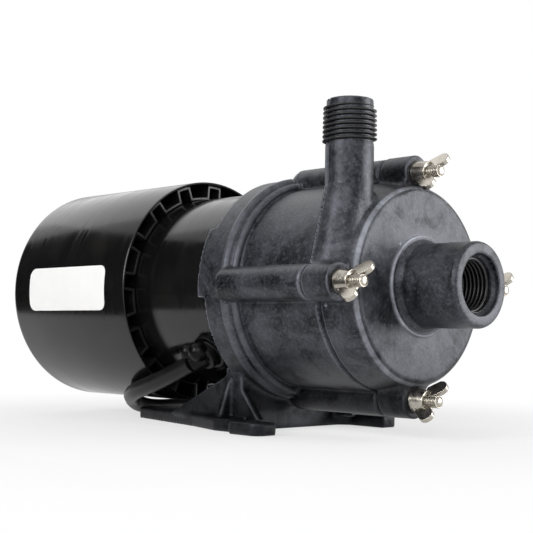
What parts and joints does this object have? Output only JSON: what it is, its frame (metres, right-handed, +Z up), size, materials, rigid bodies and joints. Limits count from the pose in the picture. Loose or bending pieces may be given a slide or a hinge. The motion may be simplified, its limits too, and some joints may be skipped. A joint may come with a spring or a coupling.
{
  "type": "magnetic drive pump",
  "caption": "Close-coupled centrifugal pump with a magnetic drive, fan-cooled motor, threaded inlet on the axis, threaded upright outlet and a moulded foot.",
  "frame": {"origin": "midway between the two front foot holes, on the foot's underside", "axes": "+X along the shaft from the motor to the inlet, +Z up along the outlet, +Y across to the side away from the outlet"},
  "size_m": [0.2494, 0.2221, 0.131],
  "materials": {
    "casing_plastic": "moulded, fine-grained, matt with a light bloom",
    "barrier_plastic": "moulded, smooth",
    "seal_rubber": "smooth",
    "ceramic": "ground",
    "magnet": "sintered, ground",
    "bushing_carbon": "carbon-filled, ground",
    "machined_steel": "turned",
    "black_steel": "blackened",
    "lamination": "stacked sheets, ground",
    "copper": "varnished wire",
    "cast_alloy": "die cast",
    "enamel": "gloss black enamel on drawn steel",
    "fan_plastic": "moulded",
    "spacer_plastic": "moulded, satin gloss",
    "plated_steel": "bright nickel plate",
    "bushing_plastic": "moulded, glossy",
    "cord_jacket": "satin jacket",
    "pin_brass": "bare, bright"
  },
  "bodies": {
    "pump_body": {"volute_housing": "casing_plastic", "motor_bracket": "casing_plastic", "separator_can": "barrier_plastic", "casing_o_ring": "seal_rubber", "spindle": "ceramic", "rear_thrust_washer": "ceramic", "front_thrust_washer": "ceramic", "front_bearing": "machined_steel", "rear_bearing": "machined_steel", "stator_core": "lamination", "stator_windings": "copper", "front_end_bell": "cast_alloy", "rear_end_bell": "cast_alloy", "bracket_screws": "machined_steel", "motor_can": "enamel", "fan_shroud": "enamel", "shroud_spacer": "spacer_plastic", "shroud_screws": "black_steel", "casing_studs": "plated_steel", "strain_relief": "bushing_plastic", "power_cord": "cord_jacket", "cord_coil": "cord_jacket", "cord_tie": "fan_plastic", "plug_lead": "cord_jacket", "power_plug": "cord_jacket", "plug_pins": "pin_brass"},
    "motor_rotor": {"motor_shaft": "machined_steel", "rotor_core": "lamination", "drive_cup": "machined_steel", "drive_magnets": "magnet", "hub_set_screw": "black_steel", "cooling_fan": "fan_plastic"},
    "impeller_set": {"impeller": "barrier_plastic", "driven_magnet": "magnet", "impeller_bushing": "bushing_carbon"},
    "nut_top": {"wing_nut_top": "plated_steel"},
    "nut_near": {"wing_nut_near": "plated_steel"},
    "nut_bottom": {"wing_nut_bottom": "plated_steel"},
    "nut_far": {"wing_nut_far": "plated_steel"}
  },
  "joints": [
    {"name": "rotor_spin", "type": "hinge", "parent": "pump_body", "child": "motor_rotor", "pos_m": [0, 0, 0.06], "axis": [1, 0, 0], "continuous": true},
    {"name": "impeller_spin", "type": "hinge", "parent": "pump_body", "child": "impeller_set", "pos_m": [0.045, 0, 0.06], "axis": [1, 0, 0], "continuous": true},
    {"name": "nut_top_turn", "type": "hinge", "parent": "pump_body", "child": "nut_top", "pos_m": [0.0551, 0, 0.1048], "axis": [1, 0, 0], "continuous": true},
    {"name": "nut_near_turn", "type": "hinge", "parent": "pump_body", "child": "nut_near", "pos_m": [0.0551, -0.0448, 0.06], "axis": [1, 0, 0], "continuous": true},
    {"name": "nut_bottom_turn", "type": "hinge", "parent": "pump_body", "child": "nut_bottom", "pos_m": [0.0551, 0, 0.0152], "axis": [1, 0, 0], "continuous": true},
    {"name": "nut_far_turn", "type": "hinge", "parent": "pump_body", "child": "nut_far", "pos_m": [0.0551, 0.0448, 0.06], "axis": [1, 0, 0], "continuous": true}
  ],
  "couplings": [
    {"joint": "impeller_spin", "follows": "rotor_spin", "ratio": 1}
  ]
}
